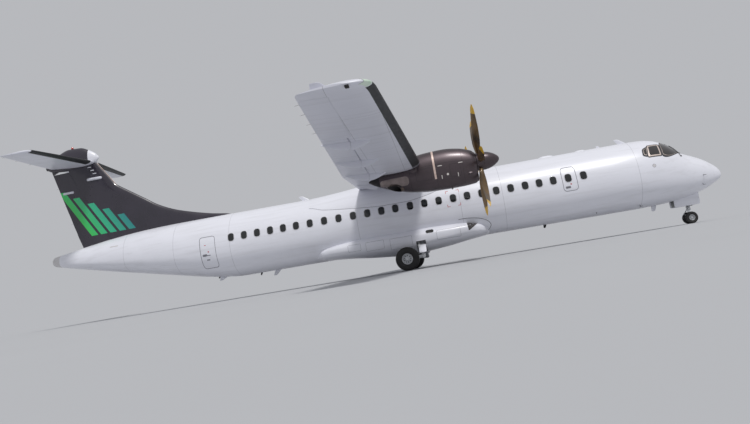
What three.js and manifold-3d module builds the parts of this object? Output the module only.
// Twin-engine high-wing turboprop airliner, standing on its wheels with every door shut.
// Frame: +X forward (nose), +Y port (left), +Z up, millimetres, origin on the ground
// under the middle of the bounding box. Tables are in metres, as (s, y, z):
// s = distance aft of the nose tip, y = to port, z = above the fuselage centre line.
import * as THREE from 'three';
import { mergeVertices } from 'three/addons/utils/BufferGeometryUtils.js';
import Module from 'manifold-3d';

const wasm = await Module();
wasm.setup();

// Driving dimensions, metres
const LENGTH = 27.17;
const CENTRELINE = 2.05;            // fuselage centre line above the ground
const RADIUS = 1.4325;              // cabin outer radius
const SEAT = 0.0005;                // gap left between pieces that touch
const BORE = 0.0004;                // least running gap round a pin or shaft
const PROP = { s: 9.12, y: 4.05, z: 1.19, radius: 1.965, blades: 6, shaft: 0.11 };
const MAIN = { s: 12.18, y: 2.05, radius: 0.432, width: 0.254, half: 0.21, rim: 0.19 };
const NOSE = { s: 1.41, y: 0, radius: 0.225, width: 0.17, half: 0.155, rim: 0.105 };
const CUT_NOSE = 3.3, CUT_TAIL = 19.0, CUT_END = 26.2;   // fuselage section joints
const FLAP_S = 12.80;               // flap nose line at the wing break
const AILERON = { from: 9.86, to: 13.1, sIn: 12.62, sOut: 12.555 };
const DOOR_ROOM = 0.06;             // depth behind a hinged door for its inner corner to swing

// Fuselage stations: s, top, bottom, half width, height of the widest point
const FUSELAGE = [
  [0.10, -0.119, -0.539, 0.227, -0.352], [0.31, 0.080, -0.660, 0.40, -0.330],
  [0.65, 0.320, -0.820, 0.62, -0.290], [1.00, 0.500, -0.935, 0.80, -0.240],
  [1.35, 0.670, -1.020, 0.94, -0.190], [1.67, 0.955, -1.070, 1.05, -0.150],
  [2.01, 1.195, -1.110, 1.15, -0.110], [2.37, 1.345, -1.140, 1.24, -0.075],
  [2.75, 1.410, -1.155, 1.31, -0.045], [3.30, 1.4325, -1.168, 1.375, -0.015],
  [4.20, 1.4325, -1.172, 1.4325, 0], [8.50, 1.4325, -1.172, 1.4325, 0],
  [14.00, 1.4325, -1.172, 1.4325, 0], [19.00, 1.4325, -1.172, 1.4325, 0],
  [19.80, 1.4325, -1.095, 1.428, 0.000], [20.64, 1.430, -0.955, 1.395, 0.020],
  [21.50, 1.425, -0.770, 1.320, 0.065], [22.40, 1.405, -0.575, 1.200, 0.130],
  [23.30, 1.365, -0.375, 1.050, 0.220], [24.40, 1.270, -0.135, 0.840, 0.340],
  [25.24, 1.165, 0.055, 0.660, 0.440], [26.20, 1.035, 0.280, 0.440, 0.560],
  [26.90, 0.940, 0.450, 0.270, 0.650], [27.10, 0.905, 0.500, 0.210, 0.680],
  [27.17, 0.860, 0.545, 0.150, 0.700],
];
const NOSE_TIP = { z: -0.38, length: 0.31, stations: [0, 0.012, 0.05, 0.11, 0.2] };
// Wheel fairing under the belly: s, half width, bottom, top
const BELLY = [
  [8.90, 0.50, -1.110, -0.95], [9.10, 1.05, -1.175, -0.74], [9.40, 1.36, -1.210, -0.60],
  [9.85, 1.53, -1.260, -0.51], [10.45, 1.61, -1.340, -0.47], [11.26, 1.65, -1.415, -0.45],
  [12.30, 1.66, -1.475, -0.45], [12.87, 1.655, -1.420, -0.45], [13.68, 1.62, -1.340, -0.46],
  [14.47, 1.54, -1.235, -0.50], [15.00, 1.44, -1.185, -0.55], [15.45, 1.28, -1.145, -0.64],
  [15.90, 0.70, -1.080, -0.90],
];
// Wing: y, leading edge s, trailing edge s, their heights, thickness ratio
const WING = [
  [0, 11.10, 13.70, 1.47, 1.385, 0.180], [2.4, 11.10, 13.70, 1.47, 1.385, 0.180],
  [4.75, 11.10, 13.70, 1.47, 1.385, 0.180], [9.0, 11.32, 13.44, 1.693, 1.615, 0.158],
  [12.9, 11.53, 13.195, 1.897, 1.828, 0.138], [13.25, 11.59, 13.17, 1.915, 1.850, 0.125],
  [13.42, 11.74, 13.155, 1.922, 1.860, 0.100], [13.525, 12.15, 13.10, 1.915, 1.868, 0.050],
];
// Fairing between wing and cabin: s, rise above the crown, angle of its lower edge in degrees
const SADDLE = [
  [9.95, 0.006, 30], [10.25, 0.045, 46], [10.7, 0.125, 57], [11.3, 0.205, 64],
  [12.0, 0.225, 67.5], [12.8, 0.215, 67.5], [13.6, 0.160, 65], [14.4, 0.085, 61],
  [15.2, 0.030, 56], [15.75, 0.006, 48],
];
// Nacelle: s, top, bottom, half width, height of the widest point
const NACELLE = [
  [9.25, 1.520, 0.560, 0.330, 1.08], [9.36, 1.610, 0.500, 0.395, 1.08],
  [9.80, 1.760, 0.465, 0.460, 1.08], [10.30, 1.820, 0.460, 0.490, 1.08],
  [10.90, 1.800, 0.480, 0.500, 1.07], [11.50, 1.700, 0.560, 0.480, 1.06],
  [12.10, 1.520, 0.720, 0.410, 1.06], [12.55, 1.340, 0.900, 0.290, 1.08],
  [12.80, 1.230, 1.030, 0.170, 1.12], [12.93, 1.180, 1.110, 0.060, 1.14],
];
// Fin: z, leading edge s, trailing edge s, thickness
const FIN = [
  [1.00, 18.90, 25.80, 0.30], [1.45, 19.25, 25.92, 0.33], [1.60, 20.00, 25.97, 0.33],
  [1.80, 20.80, 26.02, 0.32], [2.06, 21.62, 26.10, 0.31], [2.40, 22.32, 26.19, 0.30],
  [2.77, 22.86, 26.30, 0.29], [3.54, 23.99, 26.52, 0.27], [4.75, 24.82, 26.86, 0.235],
];
// Tail bullet: s, top, bottom, half width
const BULLET = [
  [24.62, 4.90, 4.78, 0.03], [24.75, 5.04, 4.66, 0.10], [24.98, 5.20, 4.56, 0.16],
  [25.39, 5.38, 4.50, 0.20], [25.90, 5.40, 4.48, 0.21], [26.40, 5.24, 4.50, 0.18],
  [26.80, 5.04, 4.56, 0.12], [27.02, 4.88, 4.66, 0.05],
];
// Tailplane: y, leading edge s, trailing edge s, height, thickness ratio
const TAILPLANE = [
  [0, 24.80, 26.74, 4.66, 0.12], [1.8, 25.03, 26.65, 4.66, 0.115],
  [3.45, 25.25, 26.57, 4.66, 0.11], [3.60, 25.36, 26.55, 4.66, 0.095],
  [3.655, 25.62, 26.50, 4.66, 0.05],
];
// Propeller blade: radius, chord, blade angle in degrees, sweep back along the arc, thickness
const BLADE = [
  [0.20, 0.120, 66, 0.000, 0.110], [0.50, 0.180, 60, -0.008, 0.062],
  [0.85, 0.272, 50, -0.028, 0.036], [1.25, 0.292, 41, -0.018, 0.025],
  [1.60, 0.255, 34, 0.045, 0.017], [1.84, 0.190, 30, 0.113, 0.012],
  [1.960, 0.070, 28, 0.170, 0.008],
];
const HINGE_Y = { inner: [2.25], outer: [4.95, 7.05, 9.35] };   // flap hinge fairings

// Points and small solids

const at = (s, y, z) => new THREE.Vector3(
  (LENGTH / 2 - s) * 1000, y * 1000, (z + CENTRELINE) * 1000);

// Smooth curve through one column of a table, with no overshoot
function along(table, column, s) {
  const x = table.map((row) => row[0]), v = table.map((row) => row[column]);
  const last = x.length - 1;
  if (s <= x[0]) return v[0];
  if (s >= x[last]) return v[last];
  let i = 0;
  while (s > x[i + 1]) i += 1;
  const slope = (k) => {
    if (k <= 0 || k >= last) return 0;
    const a = (v[k] - v[k - 1]) / (x[k] - x[k - 1]);
    const b = (v[k + 1] - v[k]) / (x[k + 1] - x[k]);
    return a * b <= 0 ? 0 : 2 * a * b / (a + b);
  };
  const h = x[i + 1] - x[i], t = (s - x[i]) / h;
  return (2 * t ** 3 - 3 * t ** 2 + 1) * v[i] + (t ** 3 - 2 * t ** 2 + t) * h * slope(i)
    + (3 * t ** 2 - 2 * t ** 3) * v[i + 1] + (t ** 3 - t ** 2) * h * slope(i + 1);
}

// Straight-line value between table rows, for surfaces with straight generators
function between(table, column, s) {
  let i = 0;
  while (i < table.length - 2 && s > table[i + 1][0]) i += 1;
  const a = table[i], b = table[i + 1];
  return a[column] + (b[column] - a[column]) * (s - a[0]) / (b[0] - a[0]);
}

function closed(positions, index) {
  const geometry = new THREE.BufferGeometry();
  geometry.setAttribute('position', new THREE.Float32BufferAttribute(positions, 3));
  geometry.setIndex(index);
  return outward(geometry);
}

// Turn every face outward
function outward(geometry) {
  const p = geometry.attributes.position, k = geometry.index.array;
  const a = new THREE.Vector3(), b = new THREE.Vector3(), c = new THREE.Vector3();
  let volume = 0;
  for (let i = 0; i < k.length; i += 3) {
    a.fromBufferAttribute(p, k[i]);
    b.fromBufferAttribute(p, k[i + 1]);
    c.fromBufferAttribute(p, k[i + 2]);
    volume += a.dot(b.cross(c));
  }
  if (volume < 0) {
    for (let i = 0; i < k.length; i += 3) [k[i + 1], k[i + 2]] = [k[i + 2], k[i + 1]];
  }
  return geometry;
}

// Skin through a row of rings with equal point counts, closed by a fan at each end
function loft(rings) {
  const n = rings[0].length, positions = [], index = [];
  rings.forEach((ring) => ring.forEach((p) => positions.push(p.x, p.y, p.z)));
  for (let i = 0; i + 1 < rings.length; i += 1) {
    for (let k = 0; k < n; k += 1) {
      const a = i * n + k, b = i * n + (k + 1) % n;
      index.push(a, b, b + n, a, b + n, a + n);
    }
  }
  [0, rings.length - 1].forEach((i) => {
    const centre = new THREE.Vector3();
    rings[i].forEach((p) => centre.addScaledVector(p, 1 / n));
    const c = positions.length / 3;
    positions.push(centre.x, centre.y, centre.z);
    for (let k = 0; k < n; k += 1) {
      const a = i * n + k, b = i * n + (k + 1) % n;
      if (i === 0) index.push(c, b, a);
      else index.push(c, a, b);
    }
  });
  return closed(positions, index);
}

function solid(geometry) {
  const g = geometry.index && !geometry.attributes.normal ? geometry : bare(geometry);
  return new wasm.Manifold(new wasm.Mesh({
    numProp: 3,
    vertProperties: new Float32Array(g.attributes.position.array),
    triVerts: new Uint32Array(g.index.array),
  }));
}

function bare(geometry) {
  const g = geometry.clone();
  ['normal', 'uv'].forEach((name) => g.deleteAttribute(name));
  return outward(mergeVertices(g, 0.01));
}

// The largest body of a cut solid, back as a geometry
function shape(manifold) {
  let best = null, size = 0;
  manifold.decompose().forEach((body) => {
    const v = body.volume();
    if (v > size) { size = v; best = body; }
  });
  const mesh = best.simplify(0.05).getMesh();
  const geometry = new THREE.BufferGeometry();
  geometry.setAttribute('position',
    new THREE.Float32BufferAttribute(Array.from(mesh.vertProperties), 3));
  geometry.setIndex(Array.from(mesh.triVerts));
  return geometry;
}

function mirrored(geometry) {
  const g = geometry.clone();
  g.scale(1, -1, 1);
  return outward(g);
}

// A solid made alike on both sides of the centre plane from its left half
function symmetric(manifold) {
  const left = shape(manifold.intersect(solid(new THREE.BoxGeometry(40000, 8000, 20000)
    .translate(0, 4000, 0))));
  return solid(left).add(solid(mirrored(left)));
}

// Box and cylinder given by table coordinates
function box(s0, s1, y0, y1, z0, z1) {
  const a = at(s1, y0, z0), b = at(s0, y1, z1);
  const g = new THREE.BoxGeometry(b.x - a.x, b.y - a.y, b.z - a.z);
  g.translate((a.x + b.x) / 2, (a.y + b.y) / 2, (a.z + b.z) / 2);
  return g;
}

// Corner radius of a bore of flat facets that a pin of radius r turns in
const bore = (r, sides) => (r + BORE) / Math.cos(Math.PI / sides);

function rod(from, to, r0, r1 = r0, sides = 16) {
  const length = from.distanceTo(to);
  const g = new THREE.CylinderGeometry(r1 * 1000, r0 * 1000, length, sides);
  g.translate(0, length / 2, 0);
  const turn = new THREE.Quaternion().setFromUnitVectors(
    new THREE.Vector3(0, 1, 0), to.clone().sub(from).normalize());
  g.applyQuaternion(turn);
  g.translate(from.x, from.y, from.z);
  return g;
}

// Prism over a polygon of [s, z] pairs, from y0 to y1
function prism(outline, y0, y1) {
  const rings = [y0, y1].map((y) => outline.map(([s, z]) => at(s, y, z)));
  return loft(rings);
}

// Sections

function oval(s, y, top, bottom, width, middle, sides, upper = 2, lower = 2) {
  return Array.from({ length: sides }, (_, k) => {
    const turn = 2 * Math.PI * k / sides, sin = Math.sin(turn), cos = Math.cos(turn);
    const n = cos > 0 ? upper : lower, reach = cos > 0 ? top - middle : middle - bottom;
    return at(s, y + width * Math.sign(sin) * Math.abs(sin) ** (2 / n),
      middle + reach * Math.sign(cos) * Math.abs(cos) ** (2 / n));
  });
}

// Symmetric or cambered aerofoil: [share of chord, height share], upper side first
function aerofoil(points, thickness, camber) {
  const half = Array.from({ length: points }, (_, i) => (1 - Math.cos(Math.PI * i / (points - 1))) / 2);
  const y = (x) => 5 * thickness * (0.2969 * Math.sqrt(x) - 0.126 * x - 0.3516 * x ** 2
    + 0.2843 * x ** 3 - 0.1015 * x ** 4);
  const line = (x) => 4 * camber * x * (1 - x);
  const upper = half.slice().reverse().map((x) => [x, line(x) + y(x)]);
  const lower = half.slice(1).map((x) => [x, line(x) - y(x)]);
  return upper.concat(lower);
}

function wingRing(row, grow = 0) {
  const [y, le, te, zl, zt, thick] = row, chord = te - le;
  return aerofoil(8, thick, 0.018).map(([x, h]) => at(
    le + x * chord + grow * (2 * x - 1), y,
    zl + (zt - zl) * x + h * chord + grow * Math.sign(h - 0.07 * x * (1 - x))));
}

// Fuselage shell or body, grown outward by a small amount where another piece rests on it
// The nose ahead of NOSE_TIP.length is a paraboloid, so its tip is round
function fuselageRing(s, grow = 0) {
  const share = Math.min(1, Math.sqrt(Math.max(s, 0.0005) / NOSE_TIP.length));
  const v = (column) => {
    const tip = column === 3 ? 0 : NOSE_TIP.z;
    return tip + (along(FUSELAGE, column, Math.max(s, NOSE_TIP.length)) - tip) * share;
  };
  return oval(s, 0, v(1) + grow, v(2) - grow, v(3) + grow, v(4), 24, 2, 2.3);
}

function fuselage(from, to, grow = 0) {
  const rows = [...NOSE_TIP.stations, ...FUSELAGE.slice(1).map((row) => row[0])]
    .filter((s) => s > from + 1e-6 && s < to - 1e-6);
  const stations = [...new Set([from, ...rows, to])].sort((a, b) => a - b);
  return loft(stations.map((s) => fuselageRing(s, grow)));
}

// Frame on a hinge line: local X aft, local Y along the hinge, local Z across
function hinge(a, b) {
  const y = b.clone().sub(a).normalize();
  const x = new THREE.Vector3(-1, 0, 0);
  x.addScaledVector(y, -x.dot(y)).normalize();
  const z = x.clone().cross(y);
  const matrix = new THREE.Matrix4().makeBasis(x, y, z).setPosition(a);
  return { matrix, length: a.distanceTo(b), axis: y, point: a };
}

function hingeBox(h, a0, a1, b0, b1, reach = 1500) {
  const g = new THREE.BoxGeometry(a1 - a0, b1 - b0, 2 * reach);
  g.translate((a0 + a1) / 2, (b0 + b1) / 2, 0);
  return solid(g.applyMatrix4(h.matrix));
}

function hingeRod(h, r0, r1, b0, b1, sides = 16) {
  const g = new THREE.CylinderGeometry(r1, r0, b1 - b0, sides);
  g.translate(0, (b0 + b1) / 2, 0);
  return solid(g.applyMatrix4(h.matrix));
}

// Pin on a hinge line, and the bore that it turns in
const hingePin = (h, r, b0, b1) => hingeRod(h, r * 1000, r * 1000, b0, b1, 16);
const hingeSocket = (h, r, b0, b1) => hingePin(h, bore(r, 16), b0, b1);

// Cut a rear surface with a round nose out of a wing or fin
function roundNosed(whole, h, r0, r1, gap, end) {
  const L = h.length;
  const moving = whole.intersect(
    hingeBox(h, 0, 3000, 0, L).add(hingeRod(h, r0, r1, 0, L)));
  const fixed = whole.subtract(
    hingeBox(h, -2, 3000, -end, L + end).add(hingeRod(h, r0 + gap, r1 + gap, -end, L + end)));
  return { moving, fixed };
}

// The airframe

const parts = [];
function add(name, geometry, colour, roughness = 0.35, metalness = 0.1, place = null) {
  const material = new THREE.MeshStandardMaterial({ color: colour, roughness, metalness });
  const mesh = new THREE.Mesh(geometry, material);
  mesh.name = name;
  if (place) mesh.position.copy(place);
  parts.push(mesh);
  return mesh;
}
const PAINT = 0xf2f2f4, GREY = 0xb9bbc4, FIN_DARK = 0x3c3744, BRONZE = 0x574b50;
const STEEL = 0x9a9ca0, TYRE = 0x232323, BLADE_DARK = 0x3a3128;
const sides = [['left', 1], ['right', -1]];
const joints = {};
function joint(name, point, axis) {
  joints[name] = {
    pos_m: point.toArray().map((v) => +(v / 1000).toFixed(6)),
    axis: axis.toArray().map((v) => +v.toFixed(6)),
  };
}

const wingGrown = solid(loft([...WING.slice(1).reverse().map((r) => [-r[0], ...r.slice(1)]), ...WING]
  .map((row) => wingRing(row, SEAT))));
const skinSide = fuselage(0, LENGTH, SEAT);
const skin = solid(skinSide).add(solid(mirrored(skinSide)));

// Door: a piece of shell between two depths, bounded by a prism along the fuselage
function shellPiece(from, to, depth, outline, s0, s1) {
  const outer = solid(fuselage(from, to));
  const inner = solid(fuselage(from - 0.2, to + 0.2, -depth));
  const rings = [s0, s1].map((s) => outline.map(([y, z]) => at(s, y, z)));
  return outer.subtract(inner).intersect(solid(loft(rings)));
}

function doorway(from, to, depth, outline, s0, s1) {
  const outer = solid(fuselage(from, to, 0.05));
  const inner = solid(fuselage(from - 0.2, to + 0.2, -depth));
  const rings = [s0, s1].map((s) => outline.map(([y, z]) => at(s, y, z)));
  return outer.subtract(inner).intersect(solid(loft(rings)));
}

// Doors: s from, s to, bottom, top, side, extra room below, slope of the head
const DOORS = {
  passenger_door: { s0: 19.04, s1: 19.80, z0: -0.70, z1: 1.04, side: 1, low: 0, high: 0.18 },
  cargo_door: { s0: 3.46, s1: 4.74, z0: -0.72, z1: 0.80, side: 1, low: 0.006, high: 0 },
  service_door: { s0: 19.60, s1: 20.21, z0: -0.69, z1: 0.53, side: -1, low: 0, high: 0 },
  exit_left: { s0: 5.57, s1: 6.08, z0: -0.12, z1: 0.77, side: 1, low: 0, high: 0 },
  exit_right: { s0: 5.57, s1: 6.08, z0: -0.12, z1: 0.77, side: -1, low: 0, high: 0 },
};
const DOOR_DEPTH = 0.09;
function doorOutline(d, gap) {
  const y = (v) => d.side * v;
  const foot = d.z0 - gap - (gap > 0 ? d.low : 0);
  return [[y(0.5), foot], [y(1.7), foot],
    [y(1.7), d.z1 + gap + d.high * 0.7], [y(0.5), d.z1 + gap - d.high * 0.5]];
}
function doorBody(d) {
  return shellPiece(d.s0 - 0.5, d.s1 + 0.5, DOOR_DEPTH, doorOutline(d, 0), d.s0, d.s1);
}
function doorHole(d, gap, back) {
  return doorway(d.s0 - 0.6, d.s1 + 0.6, DOOR_DEPTH + back, doorOutline(d, gap),
    d.s0 - gap, d.s1 + gap);
}
const doors = Object.fromEntries(Object.entries(DOORS).map(([name, d]) => [name, doorBody(d)]));
const surface = (s, z) => {
  const ring = fuselageRing(s).map((p) => [p.y / 1000, p.z / 1000 - CENTRELINE]);
  for (let i = 0; i < ring.length / 2; i += 1) {
    const [y0, z0] = ring[i], [y1, z1] = ring[i + 1];
    if ((z0 - z) * (z1 - z) <= 0) return y0 + (y1 - y0) * (z - z0) / (z1 - z0);
  }
  return 0;
};

// Fuselage sections with the door recesses and the nose wheel well
const WELL = { s0: 1.02, s1: 1.98, y: 0.27, roof: -0.72 };
let nose = solid(fuselage(0, CUT_NOSE));
nose = nose.subtract(solid(box(WELL.s0, WELL.s1, -WELL.y, WELL.y, -2, WELL.roof)));
const noseJack = rod(at(2.75, 0, -1.05), at(2.75, 0, -1.172), 0.06, 0.06, 12);
nose = nose.add(solid(noseJack));
add('fuselage_nose', shape(nose), PAINT);

let cabin = solid(fuselage(CUT_NOSE, CUT_TAIL)).subtract(wingGrown);
cabin = cabin.subtract(doorHole(DOORS.cargo_door, 0.008, DOOR_ROOM));
['exit_left', 'exit_right'].forEach((name) => {
  cabin = cabin.subtract(doorHole(DOORS[name], 0.003, 0.0006));
});
let tail = solid(fuselage(CUT_TAIL, CUT_END));
tail = tail.subtract(doorHole(DOORS.passenger_door, 0.008, DOOR_ROOM));
tail = tail.subtract(doorHole(DOORS.service_door, 0.003, 0.0006));
add('tail_end_cone', fuselage(CUT_END, LENGTH), GREY);

['service_door', 'exit_left', 'exit_right'].forEach((name) => {
  add(name, shape(doors[name]), PAINT);
});

// Hinge arms carry the two moving doors on pins in their frames
const sill = DOORS.passenger_door, head = DOORS.cargo_door;
const hingeY = (d, z) => Math.max(surface(d.s0 - 0.03, z), surface(d.s1 + 0.03, z)) + 0.006;
const sillY = hingeY(sill, sill.z0), headY = hingeY(head, head.z1);
const hingePinOf = (d, y, z) => [at(d.s0 - 0.035, y, z), at(d.s1 + 0.035, y, z)];
const sillPin = hingePinOf(sill, sillY, sill.z0), headPin = hingePinOf(head, headY, head.z1);
joint('passenger_door', sillPin[0], new THREE.Vector3(-1, 0, 0));
joint('cargo_door', headPin[0], new THREE.Vector3(1, 0, 0));
const PIN = 0.014;
// Two knuckles tie each door to its pin, and a lug on the frame holds the pin's outboard end
function pinned(door, pin, d, y, z, up) {
  const knuckle = (s) => solid(box(s, s + 0.08, y - 0.07, y + 0.008,
    Math.min(z, z + up * 0.04), Math.max(z, z + up * 0.04)));
  return door.add(solid(rod(pin[0], pin[1], PIN, PIN, 12)))
    .add(knuckle(d.s0 + 0.06)).add(knuckle(d.s1 - 0.14));
}
function socketed(frame, pin, s, y, z) {
  const lug = solid(box(s, s + 0.022, y - 0.14, y + 0.022, z - 0.022, z + 0.022));
  return frame.add(lug).subtract(solid(rod(pin[0].clone().setX(pin[0].x + 2),
    pin[1].clone().setX(pin[1].x - 2), bore(PIN, 12), bore(PIN, 12), 12)));
}
add('passenger_door', shape(pinned(doors.passenger_door, sillPin, sill, sillY, sill.z0, 1)), PAINT);
add('cargo_door', shape(pinned(doors.cargo_door, headPin, head, headY, head.z1, -1)), PAINT);
tail = socketed(tail, sillPin, sill.s1 + 0.009, sillY, sill.z0);
cabin = socketed(cabin, headPin, head.s0 - 0.031, headY, head.z1);
add('fuselage_cabin', shape(cabin), PAINT);

// Wheel fairing with its two wheel wells and leg slots
const bellyRings = (grow) => BELLY.map(([s, w, bottom, top]) => oval(
  s, 0, top + grow, bottom - grow, w + grow, (top + bottom) / 2, 20, 2.6, 2.9));
let belly = solid(loft(bellyRings(0))).subtract(skin);
const WHEEL_WELL = { y: 0.60, radius: 0.475, roof: -1.20 };
const LEG_S = 11.59;                // the leg stands ahead of its wheels
const SLOT = { s0: LEG_S - 0.15, s1: LEG_S + 0.21, y0: 0.5, y1: 1.9, roof: -1.02 };
sides.forEach(([, m]) => {
  belly = belly.subtract(solid(rod(at(MAIN.s, m * WHEEL_WELL.y, -1.7),
    at(MAIN.s, m * WHEEL_WELL.y, WHEEL_WELL.roof), WHEEL_WELL.radius, WHEEL_WELL.radius, 16)));
  belly = belly.subtract(solid(box(SLOT.s0, SLOT.s1, Math.min(m * SLOT.y0, m * SLOT.y1),
    Math.max(m * SLOT.y0, m * SLOT.y1), -1.7, SLOT.roof)));
  belly = belly.add(solid(rod(at(13.6, m * 1.0, -1.15), at(13.6, m * 1.0, -1.33), 0.06, 0.06, 12)));
});
add('wheel_fairing', shape(belly), PAINT);

// Saddle fairing between the wing and the cabin
const saddle = loft(SADDLE.map(([s, rise, edge]) => {
  const limit = edge * Math.PI / 180, n = 14;
  const outer = Array.from({ length: n + 1 }, (_, k) => {
    const a = limit * (2 * k / n - 1);
    const r = RADIUS + 0.004 + rise * (1 - Math.abs(a / limit) ** 2.4);
    return at(s, r * Math.sin(a), r * Math.cos(a));
  });
  const inner = Array.from({ length: n + 1 }, (_, k) => {
    const a = limit * (1 - 2 * k / n) * 0.96;
    return at(s, 1.3 * Math.sin(a), 1.3 * Math.cos(a));
  });
  return outer.concat(inner);
}));
add('wing_fairing', shape(solid(saddle).subtract(skin).subtract(wingGrown)), PAINT);

// Height of the wing's upper and lower skin at a place
function wingHeight(y, s) {
  const row = [y, ...[1, 2, 3, 4, 5].map((c) => between(WING, c, y))];
  const ring = wingRing(row).map((p) => [LENGTH / 2 - p.x / 1000, p.z / 1000 - CENTRELINE]);
  const found = [];
  for (let i = 0; i + 1 < ring.length; i += 1) {
    const [s0, z0] = ring[i], [s1, z1] = ring[i + 1];
    if ((s0 - s) * (s1 - s) <= 0) found.push(z0 + (z1 - z0) * (s - s0) / (s1 - s0));
  }
  return [Math.max(...found), Math.min(...found)];
}

// Wing: centre section through both nacelles, tapered outer wings
let wingCentre = solid(loft([...WING.slice(1, 3).reverse().map((r) => [-r[0], ...r.slice(1)]),
  ...WING.slice(0, 3)].map((row) => wingRing(row))));
let wingOuter = solid(loft(WING.slice(2).map((row) => wingRing(row))));

// A flap turns about a line below the wing, so its nose stays behind the hinge line
const FLAP_DROP = 0.15, KNUCKLE = 0.028;
function flapCut(wing, y0, y1, s0, s1) {
  const z0 = wingHeight(y0, s0)[1] - FLAP_DROP, z1 = wingHeight(y1, s1)[1] - FLAP_DROP;
  const h = hinge(at(s0, y0, z0), at(s1, y1, z1));
  return { h, moving: wing.intersect(hingeBox(h, 0, 2000, 0, h.length)) };
}

// Thin fairing blade round each flap hinge, its front half fixed and its rear half on the flap
function hingeFairing(h, y, front, rear) {
  const b = (y * 1000 - h.point.y) / h.axis.y;
  const lift = h.matrix.elements[10] > 0 ? 1 : -1;
  const blade = (a0, a1, low0, low1, high, swing = 0) => {
    const heel = swing > 0 ? [[a0, 0], [a0 + swing, low0]] : [[a0, low0]];
    const outline = [[a0, high], ...heel, [(a0 + a1) / 2, Math.min(low0, low1)],
      [a1, low1], [a1, high]];
    const rings = [-30, 30].map((w) => outline.map(([a, z]) => new THREE.Vector3(a, b + w, lift * z)
      .applyMatrix4(h.matrix)));
    return solid(loft(rings));
  };
  const fixed = blade(-front, -12, 90, -60, 330)
    .subtract(hingeSocket(h, KNUCKLE, b - 60, b + 60));
  const moving = blade(0, rear, -60, 90, 300, 45).add(hingePin(h, KNUCKLE, b - 30, b + 30));
  return { fixed, moving };
}

function flap(wing, whole, y0, y1, s0, s1, hinges) {
  const cut = flapCut(whole, y0, y1, s0, s1);
  let fixed = wing.subtract(hingeBox(cut.h, -10, 2000, -30, cut.h.length + 30));
  let moving = cut.moving;
  hinges.forEach((y) => {
    const f = hingeFairing(cut.h, y, y < 4 ? 120 : 560, 780);
    fixed = fixed.add(f.fixed.subtract(hingeBox(cut.h, -10, 2000, -30, cut.h.length + 30)
      .subtract(hingeBox(cut.h, -10, 0, -30, cut.h.length + 30))));
    moving = moving.add(f.moving);
  });
  hinges.forEach((y) => {
    const b = (y * 1000 - cut.h.point.y) / cut.h.axis.y;
    fixed = fixed.subtract(hingeSocket(cut.h, KNUCKLE, b - 60, b + 60));
  });
  return { h: cut.h, fixed, moving };
}

const innerFlap = flap(wingCentre, wingCentre, 1.62, 3.64, FLAP_S, FLAP_S, HINGE_Y.inner);
const flapOuterTip = 9.78;
const outerFlap = flap(wingOuter, wingOuter, 4.80, flapOuterTip, FLAP_S, 12.69, HINGE_Y.outer);
wingOuter = outerFlap.fixed;
// The same cut on both sides of the centre section
wingCentre = symmetric(innerFlap.fixed);

const NOSE_SPARE = 2;               // a rear surface's round nose stands this far proud, mm
const aileronPoint = (y, s) => {
  const [u, l] = wingHeight(y, s);
  return { point: at(s, y, (u + l) / 2), radius: (u - l) * 500 + NOSE_SPARE };
};
const aileronIn = aileronPoint(AILERON.from, AILERON.sIn);
const aileronOut = aileronPoint(AILERON.to, AILERON.sOut);
const aileronHinge = hinge(aileronIn.point, aileronOut.point);
const aileron = roundNosed(wingOuter, aileronHinge, aileronIn.radius, aileronOut.radius, 7, 14);
const aileronPins = hingePin(aileronHinge, 0.012, -60, aileronHinge.length + 60);
wingOuter = aileron.fixed.subtract(
  hingeSocket(aileronHinge, 0.012, -62, aileronHinge.length + 62));
const aileronBody = aileron.moving.add(aileronPins);

// Nacelle hangs under the wing and fairs over its leading edge
const nacelleRings = (grow, y = PROP.y) => NACELLE.map(([s, top, bottom, w, middle]) => oval(
  s, y, top + grow, bottom - grow, w + grow, middle, 16, 2.1, 2.4));
let nacelle = solid(loft(nacelleRings(0))).subtract(wingGrown);
nacelle = nacelle.subtract(solid(rod(at(9.63, PROP.y, PROP.z), at(9.1, PROP.y, PROP.z),
  bore(PROP.shaft, 32), bore(PROP.shaft, 32), 32)));
const intake = loft([9.1, 9.6].map((s) => oval(s, PROP.y, 0.80, 0.60, 0.21, 0.70, 20, 2.4, 2.4)));
nacelle = nacelle.subtract(solid(intake));
// Exhaust stub low on the outer side
const pipe = [at(11.55, PROP.y + 0.06, 0.88), at(12.50, PROP.y + 0.50, 0.62)];
const duct = (r) => {
  const g = rod(pipe[0], pipe[1], r, r, 14);
  return solid(g);
};
const exhaust = duct(0.165).subtract(solid(rod(pipe[0].clone().lerp(pipe[1], 0.15),
  pipe[1].clone().lerp(pipe[0], -0.1), 0.14, 0.14, 14)))
  .intersect(solid(loft(nacelleRings(0.05))));
nacelle = nacelle.subtract(solid(rod(pipe[0].clone().lerp(pipe[1], -0.002), pipe[1],
  0.165 + SEAT, 0.165 + SEAT, 14)));
const nacelleShape = shape(nacelle), exhaustShape = shape(exhaust);

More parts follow.
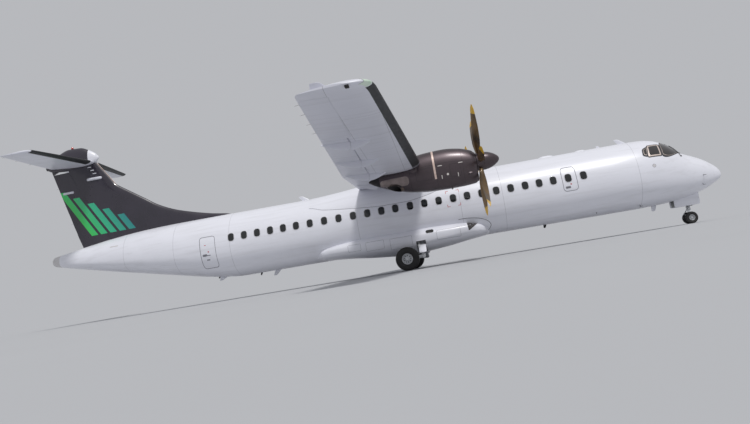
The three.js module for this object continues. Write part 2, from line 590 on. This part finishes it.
// Fin, rudder, tailplane, elevators and bullet
const finRing = ([z, le, te, thick]) => aerofoil(8, thick / (te - le), 0)
  .map(([x, h]) => at(le + x * (te - le), h * (te - le), z));
const tailRing = ([y, le, te, z, thick], grow = 0) => aerofoil(7, thick, 0)
  .map(([x, h]) => at(le + x * (te - le) + grow * (2 * x - 1), y, z + h * (te - le) + grow * Math.sign(h)));
const tailRows = [...TAILPLANE.slice(1).reverse().map((r) => [-r[0], ...r.slice(1)]), ...TAILPLANE];
const tailWhole = solid(loft(tailRows.map((row) => tailRing(row))));
const tailGrown = solid(loft(tailRows.map((row) => tailRing(row, SEAT))));
const bulletRings = (grow) => BULLET.map(([s, top, bottom, w]) => oval(
  s, 0, top + grow, bottom - grow, w + grow, 0.42 * top + 0.58 * bottom, 12, 1.9, 2.2));
let bullet = solid(loft(bulletRings(0))).subtract(tailGrown);
const bulletGrown = solid(loft(bulletRings(SEAT)));

const finWhole = solid(loft(FIN.map((row) => finRing(row))));
const RUDDER = { low: [24.62, 1.28], high: [26.02, 4.40], rLow: 0.115, rHigh: 0.085 };
const rudderHinge = hinge(at(RUDDER.low[0], 0, RUDDER.low[1]), at(RUDDER.high[0], 0, RUDDER.high[1]));
const rudderCut = (grow) => hingeBox(rudderHinge, grow ? -2 : 0, 3000, -2500, 5000)
  .add(hingeRod(rudderHinge, RUDDER.rLow * 1000 + grow, RUDDER.rHigh * 1000 + grow,
    -900, rudderHinge.length + 300));
const rudderTop = 4.41, rudderFloor = solid(fuselage(23, LENGTH, 0.02));
let rudder = finWhole.intersect(rudderCut(0)).subtract(rudderFloor)
  .intersect(solid(box(18, 28, -1, 1, 0, rudderTop)));
let fin = finWhole.subtract(skin).subtract(bulletGrown).subtract(tailGrown)
  .subtract(rudderCut(8).intersect(solid(box(18, 28, -1, 1, 0, 4.75))));
fin = fin.intersect(solid(box(18, 28, -1, 1, 0, 4.62)));
const rudderPin = hingePin(rudderHinge, 0.02, -170, rudderHinge.length + 100);
const rudderBore = hingeSocket(rudderHinge, 0.02, -172, rudderHinge.length + 102);
rudder = rudder.add(rudderPin);
tail = tail.subtract(rudderBore);
add('fuselage_tail', shape(tail), PAINT);
bullet = bullet.subtract(rudderBore);
fin = symmetric(fin.subtract(rudderBore));
rudder = symmetric(rudder);

const ELEVATOR = { y0: 0.25, y1: 3.66, s0: 25.98, s1: 26.10, r0: 0.087, r1: 0.056 };
const elevatorHinge = hinge(at(ELEVATOR.s0, ELEVATOR.y0, 4.66), at(ELEVATOR.s1, ELEVATOR.y1, 4.66));
const elevator = roundNosed(tailWhole, elevatorHinge, ELEVATOR.r0 * 1000, ELEVATOR.r1 * 1000, 7, 14);
const elevatorBody = elevator.moving.add(hingePin(elevatorHinge, 0.015, -90, 40));
bullet = bullet.subtract(hingeSocket(elevatorHinge, 0.015, -92, 40));
bullet = symmetric(bullet);
let tailplane = elevator.fixed.subtract(hingeSocket(elevatorHinge, 0.015, -92, 40))
  .subtract(hingeBox(elevatorHinge, -2, 3000, -450, 0).intersect(solid(box(24, 28, 0.2, 1, 4, 6))));
tailplane = symmetric(tailplane);
joint('rudder', rudderHinge.point, rudderHinge.axis);

add('wing_centre', shape(wingCentre), GREY);
add('fin', shape(fin), FIN_DARK);
add('rudder', shape(rudder), FIN_DARK);
add('tailplane', shape(tailplane), GREY);
add('tail_bullet', shape(bullet), PAINT);

// Propeller: hub, six swept blades and the drive shaft in one turning piece
function bladeRing([r, chord, angle, sweep, thick], turn) {
  const pitch = angle * Math.PI / 180;
  return aerofoil(4, thick / chord, 0.02).map(([x, h]) => {
    const c = (x - 0.45) * chord, t = h * chord;
    const across = c * Math.cos(pitch) - t * Math.sin(pitch) + sweep;
    const fore = -c * Math.sin(pitch) - t * Math.cos(pitch);
    return new THREE.Vector3(fore * 1000, across * 1000, r * 1000)
      .applyAxisAngle(new THREE.Vector3(1, 0, 0), turn);
  });
}
function propeller() {
  const hub = new THREE.CylinderGeometry(302, 296, 236, 18);
  hub.rotateZ(-Math.PI / 2);
  const shaft = new THREE.CylinderGeometry(PROP.shaft * 1000, PROP.shaft * 1000, 480, 32);
  shaft.rotateZ(-Math.PI / 2);
  shaft.translate(-240, 0, 0);
  let body = solid(hub).add(solid(shaft));
  for (let k = 0; k < PROP.blades; k += 1) {
    const turn = 2 * Math.PI * (k + 0.5) / PROP.blades;
    body = body.add(solid(loft(BLADE.map((row) => bladeRing(row, turn)))));
  }
  return shape(body);
}
const spinnerProfile = [[0, 0], [0, 0.302], [0.14, 0.284], [0.30, 0.228],
  [0.44, 0.140], [0.515, 0.060], [0.53, 0]];
const spinnerGeometry = new THREE.LatheGeometry(
  spinnerProfile.map(([x, r]) => new THREE.Vector2(r * 1000, x * 1000)), 18);
spinnerGeometry.rotateZ(-Math.PI / 2);
const propellerGeometry = propeller();

// Wheels turn on axles that belong to the legs
function tyre(wheel, sides) {
  const R = wheel.radius * 1000 / Math.cos(Math.PI / sides), w = wheel.width * 500;
  const r = wheel.rim * 1000;
  const profile = [[r, -0.8 * w], [R - 0.5 * (R - r), -w], [R - 0.13 * (R - r), -0.80 * w],
    [R, -0.42 * w], [R, 0.42 * w], [R - 0.13 * (R - r), 0.80 * w], [R - 0.5 * (R - r), w],
    [r, 0.8 * w], [r, -0.8 * w]];
  const g = new THREE.LatheGeometry(profile.map(([x, y]) => new THREE.Vector2(x, y)), sides);
  return g.rotateY(Math.PI / sides);
}
function hub(wheel, sides, axle) {
  const r = wheel.rim * 1000 - 0.5, a = axle * 1000, h = wheel.half * 1000;
  const w = wheel.width * 400;
  const profile = [[0, -h - w + 25], [r * 0.6, -h - w + 25], [r, -h - w], [r, -h + w],
    [a, -h + w - 20], [a, h - w + 20], [r, h - w], [r, h + w], [r * 0.6, h + w - 25],
    [0, h + w - 25]];
  const g = new THREE.LatheGeometry(profile.map(([x, y]) => new THREE.Vector2(x, y)), sides);
  return g.rotateY(Math.PI / sides);
}
const mainAxle = 0.045, noseAxle = 0.028;

// Main leg: trunnion in the fairing slot, splayed leg, and an arm trailing aft between the wheels
const axleZ = MAIN.radius - CENTRELINE;
const mainAxis = at(MAIN.s, MAIN.y, axleZ);
function mainLeg() {
  const top = at(LEG_S, 1.36, -1.18), knee = at(LEG_S, MAIN.y, -1.60);
  const pieces = [
    rod(at(SLOT.s0 + SEAT, 1.36, -1.18), at(SLOT.s1 - SEAT, 1.36, -1.18), 0.07, 0.07, 10),
    rod(top, knee, 0.085, 0.07, 10),
    new THREE.SphereGeometry(80, 10, 6).translate(knee.x, knee.y, knee.z),
    rod(knee, mainAxis, 0.068, 0.058, 10),
    rod(at(MAIN.s, MAIN.y - 0.062, axleZ), at(MAIN.s, MAIN.y + 0.062, axleZ), 0.085, 0.085, 12),
    box(LEG_S + 0.07, LEG_S + 0.17, MAIN.y - 0.055, MAIN.y + 0.055, -1.60, -1.46),
  ];
  const leg = pieces.map(solid).reduce((a, b) => a.add(b));
  const hole = bore(mainAxle, 20);
  return leg.subtract(solid(rod(at(MAIN.s, MAIN.y - 0.2, axleZ), at(MAIN.s, MAIN.y + 0.2, axleZ),
    hole, hole, 20)));
}
const mainLegBody = mainLeg();
// Shock strut beside the leg, from the arm's lug up to the slot roof
const strutS = LEG_S + 0.122;
const strut = solid(rod(at(strutS, MAIN.y - 0.0555, -1.50), at(strutS, 1.30, -0.95), 0.036, 0.03, 12))
  .subtract(solid(box(11, 13, 0, 3, SLOT.roof - SEAT, 0)))
  .subtract(mainLegBody.translate([0, -0.5, 0]).add(mainLegBody)
    .add(mainLegBody.translate([0, 0, 0.5])));

// Nose leg: fixed upper tube, turning lower tube with torque link and axle
const noseAxisZ = NOSE.radius - CENTRELINE;
let noseLeg = solid(rod(at(NOSE.s, 0, -0.78), at(NOSE.s, 0, -1.46), 0.075, 0.07, 16));
noseLeg = noseLeg.add(solid(rod(at(NOSE.s, -WELL.y + SEAT, -0.82), at(NOSE.s, WELL.y - SEAT, -0.82), 0.05, 0.05, 12)));
noseLeg = noseLeg.add(solid(rod(at(NOSE.s + 0.05, 0, -1.10), at(WELL.s1 - SEAT - 0.04, 0, -0.85), 0.035, 0.035, 12)));
noseLeg = noseLeg.add(solid(rod(at(WELL.s1 - 0.06, -WELL.y + SEAT, -0.85), at(WELL.s1 - 0.06, WELL.y - SEAT, -0.85), 0.035, 0.035, 12)));
const PISTON = 0.045;
noseLeg = noseLeg.subtract(solid(rod(at(NOSE.s, 0, -1.15), at(NOSE.s, 0, -1.6), bore(PISTON, 24), bore(PISTON, 24), 24)));
let steer = solid(rod(at(NOSE.s, 0, -1.20), at(NOSE.s, 0, noseAxisZ), PISTON, PISTON, 24));
steer = steer.add(solid(rod(at(NOSE.s, 0, -1.475), at(NOSE.s, 0, -1.53), 0.085, 0.085, 16)));
steer = steer.add(solid(rod(at(NOSE.s, 0, -1.66), at(NOSE.s, 0, noseAxisZ - 0.05), 0.056, 0.054, 16)));
steer = steer.subtract(solid(rod(at(NOSE.s, -0.2, noseAxisZ), at(NOSE.s, 0.2, noseAxisZ),
  bore(noseAxle, 16), bore(noseAxle, 16), 16)));
steer = steer.add(solid(prism([[1.475, -1.485], [1.475, -1.525], [1.60, -1.63], [1.62, -1.66],
  [1.60, -1.68], [1.455, -1.78], [1.44, -1.745], [1.565, -1.655]], -0.03, 0.03)));
steer = steer.add(solid(box(1.27, 1.37, -0.035, 0.035, -1.79, -1.72)));

const noseCentre = at(NOSE.s, 0, noseAxisZ);
add('nose_leg', shape(noseLeg), STEEL, 0.4, 0.7);
add('nose_steering_leg', shape(steer), STEEL, 0.4, 0.7);
sides.forEach(([name, m]) => {
  const y = m * NOSE.half;
  add(`nose_tyre_${name}`, bare(tyre(NOSE, 16)), TYRE, 0.9, 0, at(NOSE.s, y, noseAxisZ));
});
add('nose_wheel_hub', hub(NOSE, 16, noseAxle), STEEL, 0.4, 0.7, noseCentre);
joint('nose_steering', at(NOSE.s, 0, -1.5), new THREE.Vector3(0, 0, 1));
joint('nose_wheels', noseCentre, new THREE.Vector3(0, 1, 0));
const noseDoor = box(WELL.s0 + 0.01, WELL.s1 - 0.01, WELL.y - 0.025, WELL.y - SEAT, -1.36, -0.90);

// Left and right copies
sides.forEach(([name, m]) => {
  const side = (g) => (m > 0 ? g : mirrored(g));
  const flip = (v) => new THREE.Vector3(v.x, m * v.y, v.z);
  add(`nose_gear_door_${name}`, side(bare(noseDoor)), PAINT);
  add(`wing_outer_${name}`, side(shape(wingOuter)), GREY);
  add(`flap_inner_${name}`, side(shape(innerFlap.moving)), GREY);
  add(`flap_outer_${name}`, side(shape(outerFlap.moving)), GREY);
  add(`aileron_${name}`, side(shape(aileronBody)), GREY);
  add(`elevator_${name}`, side(shape(elevatorBody)), GREY);
  add(`nacelle_${name}`, side(nacelleShape), BRONZE, 0.35, 0.5);
  add(`exhaust_${name}`, side(exhaustShape), 0x4a4a4c, 0.5, 0.7);
  add(`propeller_${name}`, propellerGeometry, BLADE_DARK, 0.4, 0.2, at(PROP.s, m * PROP.y, PROP.z));
  add(`spinner_${name}`, spinnerGeometry, BRONZE, 0.3, 0.5, at(PROP.s - 0.1183, m * PROP.y, PROP.z));
  add(`main_leg_${name}`, side(shape(mainLegBody)), STEEL, 0.4, 0.7);
  add(`main_strut_${name}`, side(shape(strut)), STEEL, 0.4, 0.7);
  const hubCentre = at(MAIN.s, m * MAIN.y, MAIN.radius - CENTRELINE);
  [['inner', -1], ['outer', 1]].forEach(([which, k]) => {
    add(`main_tyre_${which}_${name}`, bare(tyre(MAIN, 20)), TYRE, 0.9, 0,
      at(MAIN.s, m * (MAIN.y + k * MAIN.half), MAIN.radius - CENTRELINE));
  });
  add(`main_wheel_hub_${name}`, hub(MAIN, 20, mainAxle), STEEL, 0.4, 0.7, hubCentre);
  joint(`propeller_${name}`, at(PROP.s, m * PROP.y, PROP.z), new THREE.Vector3(1, 0, 0));
  joint(`main_wheels_${name}`, hubCentre, new THREE.Vector3(0, 1, 0));
  const drop = (h) => flip(h.axis).multiplyScalar(-m);     // positive turns the trailing edge down
  joint(`aileron_${name}`, flip(aileronHinge.point), drop(aileronHinge));
  joint(`elevator_${name}`, flip(elevatorHinge.point), drop(elevatorHinge));
  joint(`flap_inner_${name}`, flip(innerFlap.h.point), drop(innerFlap.h));
  joint(`flap_outer_${name}`, flip(outerFlap.h.point), drop(outerFlap.h));
});

const airliner = new THREE.Group();
parts.forEach((mesh) => airliner.add(mesh));
airliner.userData.joints = joints;

export default airliner;
